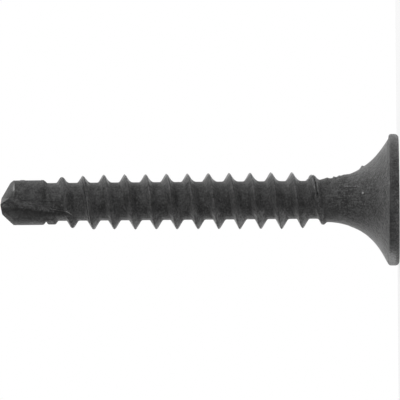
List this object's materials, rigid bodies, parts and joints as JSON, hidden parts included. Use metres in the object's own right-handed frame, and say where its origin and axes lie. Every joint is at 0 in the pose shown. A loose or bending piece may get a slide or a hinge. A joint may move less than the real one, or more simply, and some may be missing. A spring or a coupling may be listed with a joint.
{
  "type": "drywall screw",
  "caption": "Self-drilling drywall screw: bugle head with a cross recess, fine right-hand thread and a fluted drill point, in black phosphated steel.",
  "frame": {"origin": "centre of the flat head face, on the screw's axis", "axes": "+Z along the screw's axis from the head face to the drill point, so that it stands on its head; -Y looks at one flute and at the side that the picture shows, with +X at the picture's top"},
  "size_m": [0.0082, 0.0082, 0.0248],
  "materials": {
    "phosphated_steel": "matte"
  },
  "bodies": {
    "root": {"screw": "phosphated_steel"}
  },
  "joints": []
}
